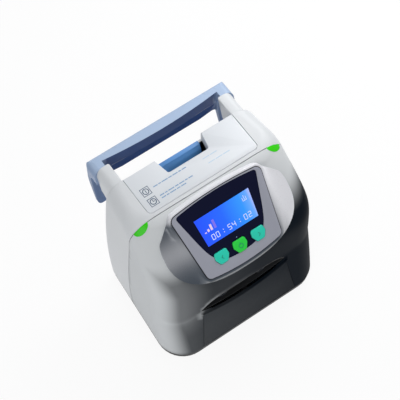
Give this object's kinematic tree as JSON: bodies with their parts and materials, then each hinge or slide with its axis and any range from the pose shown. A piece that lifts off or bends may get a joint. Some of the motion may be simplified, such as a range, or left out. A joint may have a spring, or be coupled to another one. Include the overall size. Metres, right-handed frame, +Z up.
{
  "type": "compression therapy pump",
  "caption": "Bedside air compression therapy pump with a sloping display pod, keys, a front slot with hose ports, a hand notch and a blue carry handle that hooks over a bed's footboard.",
  "frame": {"origin": "middle of the whole object's footprint, at the height of the table that its feet stand on", "axes": "+X to the right of someone facing the display, +Y from the display side to the bed hook, +Z up"},
  "size_m": [0.1962, 0.1739, 0.1928],
  "materials": {
    "shell": "satin light grey ABS housing moulding",
    "front": "satin charcoal and grey painted front moulding",
    "cover": "satin near-white cover plate",
    "grip": "satin blue grip insert",
    "tray": "black ABS base tray",
    "rubber": "black rubber",
    "liner": "black slot liner",
    "pod": "silver blue display pod",
    "bezel": "silver grey bezel",
    "window": "glossy dark blue display window",
    "screen": "backlit blue liquid crystal display",
    "key_teal": "teal key",
    "key_green": "green key",
    "light": "green light pipe",
    "hook": "satin blue nylon hook",
    "port": "blue nylon port",
    "steel": "zinc plated steel",
    "board": "green circuit board with parts",
    "pump_metal": "cast aluminium",
    "brass": "brass and steel crank",
    "motor": "steel motor can",
    "valve": "blue solenoid valve body",
    "hose": "clear grey silicone hose",
    "battery": "shrink wrapped battery pack",
    "black": "black plastic"
  },
  "bodies": {
    "body": {"front_housing": "front", "rear_housing": "shell", "top_cover": "cover", "grip_insert": "grip", "base_tray": "tray", "feet": "rubber", "lower_panel": "front", "slot_liner": "liner", "display_pod": "pod", "display_bezel": "bezel", "display_seal": "rubber", "display_window": "window", "lcd_module": "screen", "display_board": "board", "indicators": "light", "bed_hook": "hook", "hook_screws": "steel", "hose_ports": "port", "mains_inlet": "black", "fan_frame": "black", "pump_block": "pump_metal", "pump_head": "black", "pump_motor": "motor", "pump_isolators": "rubber", "valve_manifold": "pump_metal", "air_valves": "valve", "air_hoses": "hose", "battery_pack": "battery", "battery_strap": "steel", "power_supply": "board", "main_board": "board", "board_spacers": "steel", "speaker": "black", "housing_screws": "steel"},
    "button_left": {"button_left": "key_teal"},
    "button_power": {"button_power": "key_green"},
    "button_right": {"button_right": "key_teal"},
    "fan_impeller": {"fan_impeller": "black"},
    "pump_crank": {"pump_crank": "brass"}
  },
  "joints": [
    {"name": "button_left_press", "type": "slide", "parent": "body", "child": "button_left", "axis": [0, 0.6921, -0.7218], "range_m": [0, 0.001], "stiffness_N_per_m": 350, "springref_m": -0.0006},
    {"name": "button_power_press", "type": "slide", "parent": "body", "child": "button_power", "axis": [0, 0.6921, -0.7218], "range_m": [0, 0.001], "stiffness_N_per_m": 350, "springref_m": -0.0006},
    {"name": "button_right_press", "type": "slide", "parent": "body", "child": "button_right", "axis": [0, 0.6921, -0.7218], "range_m": [0, 0.001], "stiffness_N_per_m": 350, "springref_m": -0.0006},
    {"name": "fan_spin", "type": "hinge", "parent": "body", "child": "fan_impeller", "pos_m": [0.054, 0.0349, 0.124], "axis": [0, 1, 0], "continuous": true},
    {"name": "crank_spin", "type": "hinge", "parent": "body", "child": "pump_crank", "pos_m": [-0.006, -0.0096, 0.0292], "axis": [1, 0, 0], "continuous": true}
  ]
}
